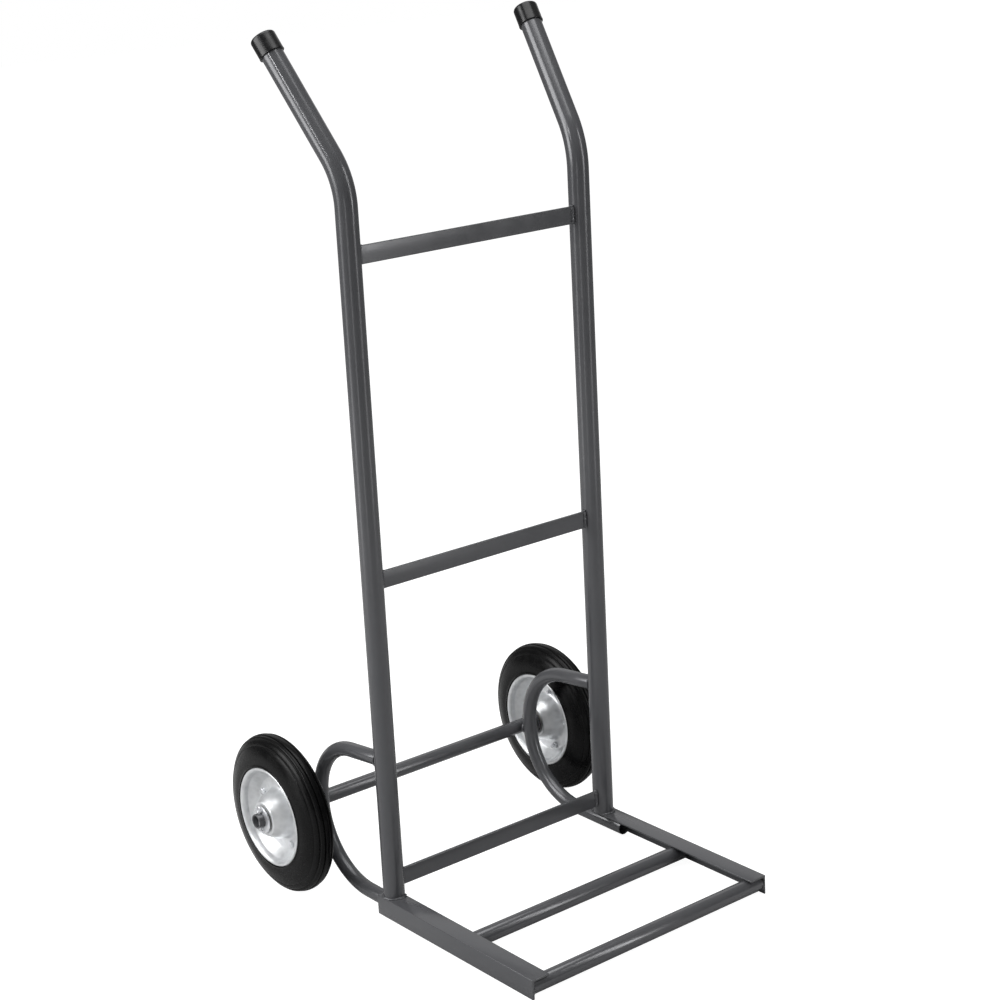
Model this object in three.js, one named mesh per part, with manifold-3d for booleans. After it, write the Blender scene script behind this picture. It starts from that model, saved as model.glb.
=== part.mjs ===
// Two-wheeled hand truck: a welded frame of round tube, flat bar and angle iron, with two spinning
// wheels of solid rubber on bolted steel rims. Millimetres, +Z up, toe towards -Y, left side at -X.
import * as THREE from 'three';
import { mergeVertices } from 'three/addons/utils/BufferGeometryUtils.js';
import Module from 'manifold-3d';

// ---- driving dimensions ------------------------------------------------------------------------
const GAP = 0.3;                  // clearance kept between neighbouring solids
const WALL = 1.5;                 // wall of the frame's tubes

const FRAME_X = 206;              // half the distance between the uprights' centre lines
const UPRIGHT_R = 15.9;
const HANDLE_BEND_Z = 1046;       // where each upright starts to bend back
const HANDLE_BEND_R = 121.5;
const HANDLE_ANGLE = 35.4;        // degrees back from upright
const HANDLE_SPLAY = { left: 12.5, right: 9.3 };   // degrees that each bend's plane turns outward
const HANDLE_LENGTH = 190;        // straight length past the bend, to the cap's end

const CAP_LENGTH = 29.5;
const CAP_R = 18.2;
const CAP_END_WALL = 3;

const BAR_HEIGHT = 26;
const BAR_THICKNESS = 4.8;
const BAR_Y = -2.1;
const BAR_Z = { lower: 56, middle: 517, top: 981 };

const ANGLE_LEG = 30;
const ANGLE_THICKNESS = 3;
const ANGLE_FILLET = 2;
const TOE_X = 224;                // outer face of each side rail
const TOE_FRONT = -338;
const TOE_BACK = 18;
const TOE_TUBE_R = 11.9;
const TOE_TUBE_Y = { middle: -170, front: -326 };

const BRACKET_R = 11.1;           // the bent wheel brackets' tube
const BRACKET_TOP_Z = 242.7;      // centre line where it meets the upright
const BRACKET_SLOPE = 5.9;        // degrees that the upper arm falls
const BRACKET_BACK_Y = 174.5;
const BRACKET_UPPER_R = 99.6;
const BRACKET_LOWER_R = 111;
const BRACKET_FRONT_Y = -48;

const AXLE_R = 11.1;
const AXLE_WALL = 2;
const AXLE_HALF = 311.5;
const AXLE_Z = 117.5;             // above the side rails' lower edges
const AXLE_Y = BRACKET_BACK_Y + BRACKET_R + AXLE_R + GAP;

const TYRE_R = 123.2;
const WHEEL_X = 264.5;
const RIM_SHEET = 2;
const LIP_X = 26;                 // rim's half width
const LIP_R = 76.4;
const BOSS_R = 26.7;
const DOME_R = 39.5;              // where the dome round the boss meets the bolting face
const FACE_R = 58;
const BOLT_CIRCLE_R = 49.5;
const BOLT_COUNT = 5;
const HUB_R = 16;
const HUB_BORE = 13.5;
const HUB_HALF = 33;
const BUSH_R = 13.2;
const BUSH_BORE = 11.5;
const BUSH_FLANGE_R = 17;
const BUSH_FLANGE = 2;
const BUSH_DEPTH = 20;
const WASHER_R = 21;
const WASHER_THICKNESS = 2.5;
const STOP_THICKNESS = 4;
const PIN_X = 305;                // split pin's distance from the middle
const PIN_WIRE_R = 1;
const PIN_HOLE_R = 2.6;
const LEFT_WHEEL_TURN = 63.5;     // degrees; where each wheel's first bolt stands at rest
const RIGHT_WHEEL_TURN = 15.5;

const rad = THREE.MathUtils.degToRad;
const v2 = (x, y) => new THREE.Vector2(x, y);
const v3 = (x, y, z) => new THREE.Vector3(x, y, z);

// ---- materials ---------------------------------------------------------------------------------
function material(color, roughness, metalness) {
  return new THREE.MeshStandardMaterial({ color, roughness, metalness });
}
const greyEnamel = material(0x55565a, 0.35, 0.3);
const zincPlate = material(0xc3c5c7, 0.35, 0.9);
const blackRubber = material(0x1b1b1d, 0.55, 0);
const blackPlastic = material(0x101012, 0.25, 0);
const whiteNylon = material(0xd8d6cc, 0.5, 0);

// ---- closed solids -----------------------------------------------------------------------------
// Keeps only positions, joins shared corners, drops slivers and turns the faces outward.
function closed(geometry) {
  const bare = new THREE.BufferGeometry();
  bare.setAttribute('position', geometry.getAttribute('position').clone());
  if (geometry.index) bare.setIndex(geometry.index.clone());
  const merged = mergeVertices(bare, 1e-3);
  const p = merged.getAttribute('position');
  const corner = (i) => v3().fromBufferAttribute(p, i);
  const faces = [];
  let volume = 0;
  for (let i = 0; i < merged.index.count; i += 3) {
    const [a, b, c] = [0, 1, 2].map((k) => merged.index.getX(i + k));
    if (a === b || b === c || c === a) continue;
    faces.push([a, b, c]);
    volume += corner(a).dot(corner(b).cross(corner(c)));
  }
  const turned = volume < 0 ? faces.map(([a, b, c]) => [a, c, b]) : faces;
  merged.setIndex(turned.flat());
  return merged;
}

const wasm = await Module();
wasm.setup();

function toManifold(geometry) {
  const solid = closed(geometry);
  const vertProperties = new Float32Array(solid.getAttribute('position').array);
  const triVerts = new Uint32Array(solid.index.array);
  return new wasm.Manifold(new wasm.Mesh({ numProp: 3, vertProperties, triVerts }));
}

function fromManifold(solid) {
  const mesh = solid.getMesh();
  const geometry = new THREE.BufferGeometry();
  geometry.setAttribute('position', new THREE.BufferAttribute(mesh.vertProperties, 3));
  geometry.setIndex(new THREE.BufferAttribute(mesh.triVerts, 1));
  return geometry;
}

function cut(body, ...tools) {
  const result = tools.reduce((solid, tool) => solid.subtract(toManifold(tool)), toManifold(body));
  return fromManifold(result);
}

function join(first, second) {
  return fromManifold(toManifold(first).add(toManifold(second)));
}

// A cylinder along X, centred at the given place.
function cylinderAlongX(r, length, sides, x = 0, y = 0, z = 0) {
  return new THREE.CylinderGeometry(r, r, length, sides).rotateZ(-Math.PI / 2).translate(x, y, z);
}

// A closed profile of [radius, x] pairs turned about the X axis.
function turned(profile, sides) {
  const loop = [...profile, profile[0]].map(([r, x]) => v2(r, x));
  return closed(new THREE.LatheGeometry(loop, sides).rotateZ(-Math.PI / 2));
}

function ring(innerR, outerR, x0, x1, sides) {
  return turned([[innerR, x0], [outerR, x0], [outerR, x1], [innerR, x1]], sides);
}

// The outline of a bent sheet, as [radius, x] pairs on both sides of its middle line.
function sheetOutline(middle, thickness) {
  const side = (sign) => middle.map(([r, x], i) => {
    const before = middle[Math.max(i - 1, 0)];
    const after = middle[Math.min(i + 1, middle.length - 1)];
    const along = v2(after[0] - before[0], after[1] - before[1]).normalize();
    return [r - sign * along.y * thickness / 2, x + sign * along.x * thickness / 2];
  });
  return [...side(1), ...side(-1).reverse()];
}

// A path through given stations, so that straight stretches take one step and bends take several.
class StationPath extends THREE.Curve {
  constructor(stations) {
    super();
    this.stations = stations;
  }
  getPoint(t, target = v3()) {
    const last = this.stations.length - 1;
    const i = Math.min(Math.floor(t * last + 1e-9), last - 1);
    return target.lerpVectors(this.stations[i], this.stations[i + 1], t * last - i);
  }
  getPointAt(t, target) {
    return this.getPoint(t, target);
  }
  getTangentAt(t, target = v3()) {
    const last = this.stations.length - 1;
    const i = Math.round(t * last);
    const here = this.stations[i];
    const unit = (a, b) => b.clone().sub(a).normalize();
    const into = i > 0 ? unit(this.stations[i - 1], here) : v3();
    const out = i < last ? unit(here, this.stations[i + 1]) : v3();
    return target.copy(into).add(out).normalize();
  }
}

function circleShape(r, holeR = 0) {
  const shape = new THREE.Shape().absarc(0, 0, r, 0, 2 * Math.PI);
  if (holeR > 0) shape.holes.push(new THREE.Path().absarc(0, 0, holeR, 0, 2 * Math.PI, true));
  return shape;
}

function sweep(shape, stations, sides) {
  const extrudePath = new StationPath(stations);
  const options = { steps: stations.length - 1, curveSegments: sides / 2, extrudePath };
  return closed(new THREE.ExtrudeGeometry(shape, options));
}

function straightTubeAlongX(r, wall, halfLength, sides) {
  return sweep(circleShape(r, r - wall), [v3(-halfLength, 0, 0), v3(halfLength, 0, 0)], sides);
}

// Points on an arc, from angle a0 to a1, in steps of equal size.
function arc(cu, cv, r, a0, a1, steps) {
  return Array.from({ length: steps + 1 }, (_, i) => {
    const a = a0 + (a1 - a0) * i / steps;
    return [cu + r * Math.cos(a), cv + r * Math.sin(a)];
  });
}

// ---- scene graph -------------------------------------------------------------------------------
const truck = new THREE.Group();
const sides = [{ name: 'left', sign: -1 }, { name: 'right', sign: 1 }];

function place(parent, name, geometry, surface, x = 0, y = 0, z = 0) {
  const mesh = new THREE.Mesh(geometry, surface);
  mesh.name = name;
  mesh.position.set(x, y, z);
  parent.add(mesh);
  return mesh;
}

// ---- uprights and handle caps ------------------------------------------------------------------
// In the bend's own plane a handle runs back by "out" as it rises to "z".
const bendEnd = rad(HANDLE_ANGLE);
const straightStart = {
  out: HANDLE_BEND_R * (1 - Math.cos(bendEnd)),
  z: HANDLE_BEND_Z + HANDLE_BEND_R * Math.sin(bendEnd),
};

function handlePoint(sign, out, z) {
  const splay = rad(sign < 0 ? HANDLE_SPLAY.left : HANDLE_SPLAY.right);
  return v3(sign * (FRAME_X + out * Math.sin(splay)), out * Math.cos(splay), z);
}

function handleAt(sign, length) {
  const out = straightStart.out + length * Math.sin(bendEnd);
  return handlePoint(sign, out, straightStart.z + length * Math.cos(bendEnd));
}

function upright(sign) {
  const bend = arc(HANDLE_BEND_R, HANDLE_BEND_Z, HANDLE_BEND_R, Math.PI, Math.PI - bendEnd, 6);
  const stations = [
    v3(sign * FRAME_X, 0, ANGLE_LEG + GAP),
    ...bend.map(([out, z]) => handlePoint(sign, out, z)),
    handleAt(sign, HANDLE_LENGTH - CAP_END_WALL - GAP),
  ];
  return sweep(circleShape(UPRIGHT_R, UPRIGHT_R - WALL), stations, 20);
}

// A cup that slips over the tube's end, its mouth at x = 0 and its rounded end at x = CAP_LENGTH.
function handleCap() {
  const floor = CAP_LENGTH - CAP_END_WALL;
  const rounding = 4;
  const corner = arc(CAP_R - rounding, CAP_LENGTH - rounding, rounding, 0, Math.PI / 2, 3);
  const bore = UPRIGHT_R + GAP;
  const profile = [[0, floor], [bore, floor], [bore, 0], [CAP_R, 0], ...corner, [0, CAP_LENGTH]];
  const points = profile.map(([r, x]) => v2(r, x));
  return closed(new THREE.LatheGeometry(points, 20));
}

for (const { name, sign } of sides) {
  place(truck, `${name}_upright`, upright(sign), greyEnamel);
  const mouth = handleAt(sign, HANDLE_LENGTH - CAP_LENGTH);
  const along = handleAt(sign, HANDLE_LENGTH).sub(mouth).normalize();
  const cap = place(truck, `${name}_handle_cap`, handleCap(), blackPlastic, ...mouth);
  cap.quaternion.setFromUnitVectors(v3(0, 1, 0), along);
}

// ---- crossbars ---------------------------------------------------------------------------------
for (const [name, z] of Object.entries(BAR_Z)) {
  const length = 2 * (FRAME_X - UPRIGHT_R - GAP);
  const bar = new THREE.BoxGeometry(length, BAR_THICKNESS, BAR_HEIGHT);
  place(truck, `${name}_crossbar`, closed(bar), greyEnamel, 0, BAR_Y, z);
}

// ---- toe: two angle-iron side rails and two round cross tubes ----------------------------------
// The flange lies on top and points inward; the leg hangs down on the outer side.
function toeAngle(sign) {
  const t = ANGLE_THICKNESS;
  const top = ANGLE_LEG;
  const inner = t + ANGLE_FILLET;
  const fillet = arc(inner, top - inner, ANGLE_FILLET, Math.PI / 2, Math.PI, 3);
  const outline = [[0, 0], [0, top], [ANGLE_LEG, top], [ANGLE_LEG, top - t], ...fillet, [t, 0]];
  const shape = new THREE.Shape(outline.map(([u, z]) => v2(sign * (TOE_X - u), z)));
  const depth = TOE_BACK - TOE_FRONT;
  const rail = new THREE.ExtrudeGeometry(shape, { depth, bevelEnabled: false });
  return closed(rail.rotateX(Math.PI / 2).translate(0, TOE_BACK, 0));
}

for (const { name, sign } of sides) {
  place(truck, `${name}_toe_angle`, toeAngle(sign), greyEnamel);
}

const toeTubeZ = ANGLE_LEG - ANGLE_THICKNESS - GAP - TOE_TUBE_R;
const toeTubeHalf = TOE_X - ANGLE_THICKNESS - ANGLE_FILLET;
for (const [name, y] of Object.entries(TOE_TUBE_Y)) {
  const tube = straightTubeAlongX(TOE_TUBE_R, WALL, toeTubeHalf, 16);
  place(truck, `${name}_toe_tube`, tube, greyEnamel, 0, y, toeTubeZ);
}

// ---- wheel brackets ----------------------------------------------------------------------------
// Each leaves the back of an upright, turns down in front of the axle and runs forward under the
// side rail's flange. Its upper end is notched to fit round the upright.
const bracketFootZ = ANGLE_LEG - ANGLE_THICKNESS - GAP - BRACKET_R;

function bracketStations() {
  const slope = rad(BRACKET_SLOPE);
  const upperY = BRACKET_BACK_Y - BRACKET_UPPER_R;
  const armEndY = upperY + BRACKET_UPPER_R * Math.sin(slope);
  const armEndZ = BRACKET_TOP_Z - (armEndY - UPRIGHT_R) * Math.tan(slope);
  const upperZ = armEndZ - BRACKET_UPPER_R * Math.cos(slope);
  const lowerY = BRACKET_BACK_Y - BRACKET_LOWER_R;
  const lowerZ = bracketFootZ + BRACKET_LOWER_R;
  const armStartY = UPRIGHT_R / 2;
  const armStartZ = BRACKET_TOP_Z + (UPRIGHT_R - armStartY) * Math.tan(slope);
  const yz = [
    [armStartY, armStartZ],
    ...arc(upperY, upperZ, BRACKET_UPPER_R, Math.PI / 2 - slope, 0, 7),
    ...arc(lowerY, lowerZ, BRACKET_LOWER_R, 0, -Math.PI / 2, 7),
    [BRACKET_FRONT_Y, bracketFootZ],
  ];
  return yz.map(([y, z]) => v3(0, y, z));
}

function wheelBracket() {
  const tube = sweep(circleShape(BRACKET_R, BRACKET_R - WALL), bracketStations(), 16);
  const notch = new THREE.CylinderGeometry(UPRIGHT_R + GAP, UPRIGHT_R + GAP, 80, 20);
  return cut(tube, notch.rotateX(Math.PI / 2).translate(0, 0, BRACKET_TOP_Z));
}

for (const { name, sign } of sides) {
  place(truck, `${name}_wheel_bracket`, wheelBracket(), greyEnamel, sign * FRAME_X);
}

// ---- axle, stop washers, outer washers and split pins ------------------------------------------
const axleTube = straightTubeAlongX(AXLE_R, AXLE_WALL, AXLE_HALF, 20);
const pinHoles = [-PIN_X, PIN_X].map((x) => (
  new THREE.CylinderGeometry(PIN_HOLE_R, PIN_HOLE_R, 3 * AXLE_R, 8)
    .rotateX(Math.PI / 2).translate(x, 0, 0)
));
place(truck, 'axle_tube', cut(axleTube, ...pinHoles), greyEnamel, 0, AXLE_Y, AXLE_Z);

const washerX = HUB_HALF + GAP + BUSH_FLANGE + GAP;     // from the wheel's middle plane
const stopWasher = ring(AXLE_R + GAP, WASHER_R, -washerX - STOP_THICKNESS, -washerX, 20);
const outerWasher = ring(AXLE_R + GAP, WASHER_R, washerX, washerX + WASHER_THICKNESS, 20);

// One wire bent double: down through the axle, round an eye on top, and its two ends spread below.
function splitPin() {
  const legY = PIN_WIRE_R + GAP / 2;
  const eyeR = 4.5;
  const eyeZ = AXLE_R + eyeR + PIN_WIRE_R + GAP;
  const neck = Math.asin(legY / eyeR);
  const eye = arc(0, eyeZ, eyeR, -Math.PI / 2 + neck, 1.5 * Math.PI - neck, 9);
  const spreadZ = -AXLE_R - 2.5;
  const yz = [[7, spreadZ - 4], [legY + 0.6, spreadZ], [legY, -AXLE_R], ...eye,
    [-legY, -AXLE_R], [-legY - 0.6, spreadZ], [-7, spreadZ - 4]];
  return sweep(circleShape(PIN_WIRE_R), yz.map(([y, z]) => v3(0, y, z)), 8);
}

for (const { name, sign } of sides) {
  const end = new THREE.Group();
  end.position.set(sign * WHEEL_X, AXLE_Y, AXLE_Z);
  end.rotation.z = sign < 0 ? Math.PI : 0;
  place(end, `${name}_stop_washer`, stopWasher, greyEnamel);
  place(end, `${name}_outer_washer`, outerWasher, zincPlate);
  place(end, `${name}_split_pin`, splitPin(), zincPlate, PIN_X - WHEEL_X);
  truck.add(end);
}

// ---- wheels: tyre, two bolted rim halves, hub tube and bushes ----------------------------------
// The tyre's foot fills the channel between the two cones of its rim.
const TYRE_HALF_PROFILE = [[60.5, 1.2], [71.5, 14.8], [72.5, 20.8], [77, 23.6], [77.6, 25.6], [86, 24.6],
  [96, 22.4], [106, 19], [114.5, 14.8], [120, 11], [TYRE_R, 3]];

function tyre() {
  const mirrored = TYRE_HALF_PROFILE.map(([r, x]) => [r, -x]).reverse();
  return turned([...TYRE_HALF_PROFILE, ...mirrored], 40);
}

function boltPlaces() {
  return Array.from({ length: BOLT_COUNT }, (_, i) => {
    const a = 2 * Math.PI * i / BOLT_COUNT;
    return [BOLT_CIRCLE_R * Math.sin(a), BOLT_CIRCLE_R * Math.cos(a)];
  });
}

// One pressed half, on the +X side: boss, dome, flat bolting face, cone, bead seat and rolled lip.
function rimHalf() {
  const faceX = (RIM_SHEET + GAP) / 2;
  const bossX = HUB_HALF - RIM_SHEET / 2;
  const middle = [[HUB_R + GAP, bossX], [BOSS_R - 1, bossX], [31.5, 25], [36.5, 13], [DOME_R, faceX],
    [FACE_R, faceX], [70, 16], [71, 21.5], [LIP_R, LIP_X - RIM_SHEET / 2]];
  const disc = turned(sheetOutline(middle, RIM_SHEET), 28);
  const holes = boltPlaces().map(([y, z]) => cylinderAlongX(3.4, 12, 8, 0, y, z));
  return cut(disc, ...holes);
}

function rimBolt() {
  const seat = RIM_SHEET + GAP;
  return join(cylinderAlongX(5.6, 4, 6, seat + 2.1), cylinderAlongX(2.9, 14, 8, 0.5 - seat));
}

function rimNut() {
  const hexagon = new THREE.Shape(arc(0, 0, 5.6, 0, 5 * Math.PI / 3, 5).map(([u, v]) => v2(u, v)));
  hexagon.holes.push(new THREE.Path().absarc(0, 0, 3.2, 0, 2 * Math.PI, true));
  const nut = new THREE.ExtrudeGeometry(hexagon, { depth: 4, bevelEnabled: false, curveSegments: 4 });
  return closed(nut.rotateY(-Math.PI / 2).translate(-RIM_SHEET - 2 * GAP, 0, 0));
}

function bush() {
  const flangeX = HUB_HALF + GAP;
  return turned([[BUSH_BORE, flangeX - BUSH_DEPTH], [BUSH_R, flangeX - BUSH_DEPTH], [BUSH_R, flangeX],
    [BUSH_FLANGE_R, flangeX], [BUSH_FLANGE_R, flangeX + BUSH_FLANGE],
    [BUSH_BORE, flangeX + BUSH_FLANGE]], 20);
}

const halfTurn = (geometry) => geometry.clone().rotateZ(Math.PI);

for (const { name, sign } of sides) {
  const wheel = new THREE.Group();
  wheel.position.set(sign * WHEEL_X, AXLE_Y, AXLE_Z);
  wheel.rotation.z = sign < 0 ? Math.PI : 0;
  place(wheel, `${name}_tyre`, tyre(), blackRubber);
  place(wheel, `${name}_hub_tube`, ring(HUB_BORE, HUB_R, -HUB_HALF, HUB_HALF, 20), zincPlate);
  place(wheel, `${name}_outer_bush`, bush(), whiteNylon);
  place(wheel, `${name}_inner_bush`, halfTurn(bush()), whiteNylon);
  const rim = new THREE.Group();
  rim.rotation.x = rad(sign < 0 ? LEFT_WHEEL_TURN : RIGHT_WHEEL_TURN);
  place(rim, `${name}_outer_rim`, rimHalf(), zincPlate);
  place(rim, `${name}_inner_rim`, halfTurn(rimHalf()), zincPlate);
  boltPlaces().forEach(([y, z], i) => {
    place(rim, `${name}_rim_bolt_${i + 1}`, rimBolt(), zincPlate, 0, y, z);
    place(rim, `${name}_rim_nut_${i + 1}`, rimNut(), zincPlate, 0, y, z);
  });
  wheel.add(rim);
  truck.add(wheel);
}

// ---- standing on the floor ---------------------------------------------------------------------
// The wheels reach a little lower than the side rails, so the truck leans forward by "lean" until
// the rails' front corners touch the floor too. The origin is on the floor, under the box's middle.
const wheelbase = AXLE_Y - TOE_FRONT;
const lean = Math.asin(TYRE_R / Math.hypot(wheelbase, AXLE_Z)) - Math.atan2(AXLE_Z, wheelbase);
const leanedY = (y, z) => y * Math.cos(lean) - z * Math.sin(lean);
const frontY = leanedY(TOE_FRONT, ANGLE_LEG);
const backY = leanedY(AXLE_Y, AXLE_Z) + TYRE_R;
truck.rotation.x = lean;
truck.position.set(0, -(frontY + backY) / 2, -TOE_FRONT * Math.sin(lean));

const group = new THREE.Group();
group.add(truck);

export default group;
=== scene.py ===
from math import acos, copysign, cos, pi, radians, sin

import bmesh
import bpy
from mathutils import Matrix, Vector


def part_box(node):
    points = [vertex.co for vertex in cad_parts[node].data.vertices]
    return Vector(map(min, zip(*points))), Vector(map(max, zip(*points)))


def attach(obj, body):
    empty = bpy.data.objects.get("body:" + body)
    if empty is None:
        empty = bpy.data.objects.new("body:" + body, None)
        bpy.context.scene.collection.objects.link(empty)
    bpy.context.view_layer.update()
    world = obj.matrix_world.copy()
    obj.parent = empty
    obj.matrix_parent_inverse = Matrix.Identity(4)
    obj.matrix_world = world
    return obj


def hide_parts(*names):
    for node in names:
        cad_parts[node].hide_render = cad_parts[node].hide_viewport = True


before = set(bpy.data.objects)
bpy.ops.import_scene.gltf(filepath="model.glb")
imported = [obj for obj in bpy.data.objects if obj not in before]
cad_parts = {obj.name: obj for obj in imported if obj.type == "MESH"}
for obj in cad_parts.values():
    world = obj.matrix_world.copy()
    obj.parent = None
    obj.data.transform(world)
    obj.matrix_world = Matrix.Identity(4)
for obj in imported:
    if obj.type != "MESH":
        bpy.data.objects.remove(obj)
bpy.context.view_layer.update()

# ---- How the truck stands -----------------------------------------------------------------------
# Each piece is drawn with the side rails level and its centre line on x = 0. The wheels reach a
# little lower than the rails, so the finished truck leans forward by LEAN about its axle.
mm = 0.001
AXLE_Y = 197.0 * mm
AXLE_Z = 117.5 * mm
LEAN = radians(0.611)
axle_low, axle_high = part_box("axle_tube")
STANCE = (Matrix.Translation((axle_low + axle_high) / 2) @ Matrix.Rotation(LEAN, 4, "X")
          @ Matrix.Translation((0, -AXLE_Y, -AXLE_Z)))


def stand(piece):
    """Puts a level piece where it is on the leaning truck."""
    piece.data.transform(STANCE)
    piece.data.update()


# ---- Uprights -----------------------------------------------------------------------------------
# Two lengths of 32 mm welded steel tube that stand on the side rails and are bent back and a little
# outward at the top as handles. They are cold bent, welded to the frame and enamelled grey with it.
FRAME_X = 206 * mm
RAIL_TOP = 30 * mm
UPRIGHT_R = 15.9 * mm
TUBE_WALL = 1.5 * mm
HANDLE_BEND_Z = 1046 * mm
HANDLE_BEND_R = 121.5 * mm
HANDLE_ANGLE = 35.4
HANDLE_SPLAY = {"left": radians(12.5), "right": radians(9.3)}
HANDLE_LENGTH = 190 * mm
CAP_END_WALL = 3 * mm
CAP_GAP = 0.3 * mm


def begin(add, name, **placing):
    """Adds a primitive with nothing else selected, and puts its place into its mesh."""
    bpy.ops.object.select_all(action="DESELECT")
    add(**placing)
    piece = bpy.context.object
    piece.name = piece.data.name = name
    bpy.ops.object.transform_apply(location=True, rotation=True, scale=True)
    bpy.ops.object.mode_set(mode="EDIT")
    bpy.ops.mesh.select_mode(type="VERT")
    bpy.ops.mesh.select_all(action="SELECT")
    return piece


def draw_ring(name, radius, sides, at, heading, filled=False):
    """A ring square to its heading, ready to be carried along."""
    facing = Vector(heading).to_track_quat("Z", "Y").to_euler()
    return begin(bpy.ops.mesh.primitive_circle_add, name, vertices=sides, radius=radius,
                 fill_type="NGON" if filled else "NOTHING", location=at, rotation=facing)


def carry(at, heading, axis, run):
    """Carries the selected ring along a run of lengths, for straight stretches, and of
    (degrees, radius, steps), for bends about axis. Gives the place and heading it ends with."""
    at, heading, axis = Vector(at), Vector(heading).normalized(), Vector(axis).normalized()
    for stretch in run:
        if isinstance(stretch, tuple):
            turn, bend_radius, steps = stretch
            centre = at + axis.cross(heading) * copysign(bend_radius, turn)
            bpy.ops.mesh.spin(steps=steps, angle=radians(abs(turn)), center=centre,
                              axis=axis * copysign(1, -turn))
            turned = Matrix.Rotation(radians(turn), 3, axis)
            at = centre + turned @ (at - centre)
            heading = turned @ heading
        else:
            bpy.ops.mesh.extrude_region_move(TRANSFORM_OT_translate={"value": heading * stretch})
            at = at + heading * stretch
    return at, heading


def tidy_shell():
    """Joins doubled corners and turns every face outward."""
    bpy.ops.mesh.select_all(action="SELECT")
    bpy.ops.mesh.remove_doubles(threshold=0.001 * mm)
    bpy.ops.mesh.normals_make_consistent(inside=False)
    bpy.ops.object.mode_set(mode="OBJECT")


def apply(piece, kind, **settings):
    """Adds a modifier to the piece and applies it."""
    bpy.ops.object.select_all(action="DESELECT")
    piece.select_set(True)
    bpy.context.view_layer.objects.active = piece
    modifier = piece.modifiers.new(kind.title(), kind)
    for key, value in settings.items():
        setattr(modifier, key, value)
    bpy.ops.object.modifier_apply(modifier=modifier.name)


def smooth(piece, crease=35):
    """Shades the piece smooth, but for edges sharper than the crease."""
    bpy.ops.object.select_all(action="DESELECT")
    piece.select_set(True)
    bpy.context.view_layer.objects.active = piece
    bpy.ops.object.shade_smooth_by_angle(angle=radians(crease))


def add_node(tree, kind, inputs, **settings):
    """A shader node with its settings, and its inputs set to values or linked to sockets."""
    node = tree.nodes.new(kind)
    for key, value in settings.items():
        setattr(node, key, value)
    for socket, value in inputs.items():
        if isinstance(value, bpy.types.NodeSocket):
            tree.links.new(value, node.inputs[socket])
        else:
            node.inputs[socket].default_value = value
    return node


def noise(tree, place, scale, detail=4, stretch=(1, 1, 1)):
    """Cloudy noise at a number of features per metre."""
    mapped = add_node(tree, "ShaderNodeMapping", {"Vector": place, "Scale": stretch})
    return add_node(tree, "ShaderNodeTexNoise",
                    {"Vector": mapped.outputs["Vector"], "Scale": scale, "Detail": detail})


def ramp(tree, factor, stops):
    """A colour ramp through (position, colour) stops; a plain number is a grey."""
    node = add_node(tree, "ShaderNodeValToRGB", {"Fac": factor})
    while len(node.color_ramp.elements) < len(stops):
        node.color_ramp.elements.new(0.5)
    for element, (position, colour) in zip(node.color_ramp.elements, stops):
        shade = (colour,) * 3 if isinstance(colour, float) else colour
        element.position = position
        element.color = (*shade, 1)
    return node.outputs["Color"]


def new_material(name):
    """An empty material: it, its nodes, its shader, and a place on the piece in metres."""
    material = bpy.data.materials.new(name)
    material.use_nodes = True
    tree = material.node_tree
    shader = tree.nodes["Principled BSDF"]
    place = add_node(tree, "ShaderNodeTexCoord", {}).outputs["Object"]
    return material, tree, shader, place


def roughen(tree, shader, height, strength, depth):
    """Raises the surface by a height between 0 and 1, to a depth in metres."""
    bump = add_node(tree, "ShaderNodeBump", {"Height": height, "Strength": strength, "Distance": depth})
    tree.links.new(bump.outputs["Normal"], shader.inputs["Normal"])


def enamel(name, lumps=0.0):
    """Dark grey gloss enamel, with faint clouding, orange peel and dust nibs."""
    material, tree, shader, place = new_material(name)
    clouds = noise(tree, place, 9, detail=6)
    nibs = noise(tree, place, 900, detail=2)
    grey = ramp(tree, clouds.outputs["Fac"],
                [(0.3, (0.068, 0.069, 0.074)), (0.7, (0.080, 0.081, 0.086))])
    dusty = ramp(tree, nibs.outputs["Fac"], [(0.7, 0.0), (0.9, 0.15)])
    colour = add_node(tree, "ShaderNodeMix", {"Factor": dusty, "A": grey, "B": (0.12, 0.12, 0.13, 1)},
                      data_type="RGBA")
    tree.links.new(colour.outputs["Result"], shader.inputs["Base Color"])
    gloss = ramp(tree, noise(tree, place, 35).outputs["Fac"], [(0.3, 0.17), (0.75, 0.27)])
    tree.links.new(gloss, shader.inputs["Roughness"])
    shader.inputs["Metallic"].default_value = 0.25
    peel = noise(tree, place, 160, detail=2)
    roughen(tree, shader, peel.outputs["Fac"], 0.02 + lumps, 0.25 * mm)
    return material


def paint(piece, material):
    """Gives the piece one finish all over."""
    piece.data.materials.clear()
    piece.data.materials.append(material)


grey_enamel = enamel("grey_enamel")

handle_ends = {}
for side, sign in (("left", -1), ("right", 1)):
    foot = Vector((sign * FRAME_X, 0, RAIL_TOP))
    splay = HANDLE_SPLAY[side]
    outward = Vector((sign * sin(splay), cos(splay), 0))
    up = Vector((0, 0, 1))
    upright = draw_ring(f"{side}_upright_tube", UPRIGHT_R, 64, foot, up)
    handle_ends[side] = carry(foot, up, up.cross(outward),
                              [HANDLE_BEND_Z - RAIL_TOP, (HANDLE_ANGLE, HANDLE_BEND_R, 18),
                               HANDLE_LENGTH - CAP_END_WALL - CAP_GAP])
    tidy_shell()
    apply(upright, "SOLIDIFY", thickness=TUBE_WALL, offset=-1)
    smooth(upright)
    stand(upright)
    paint(upright, grey_enamel)
    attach(upright, "frame")
    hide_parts(f"{side}_upright")

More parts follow.
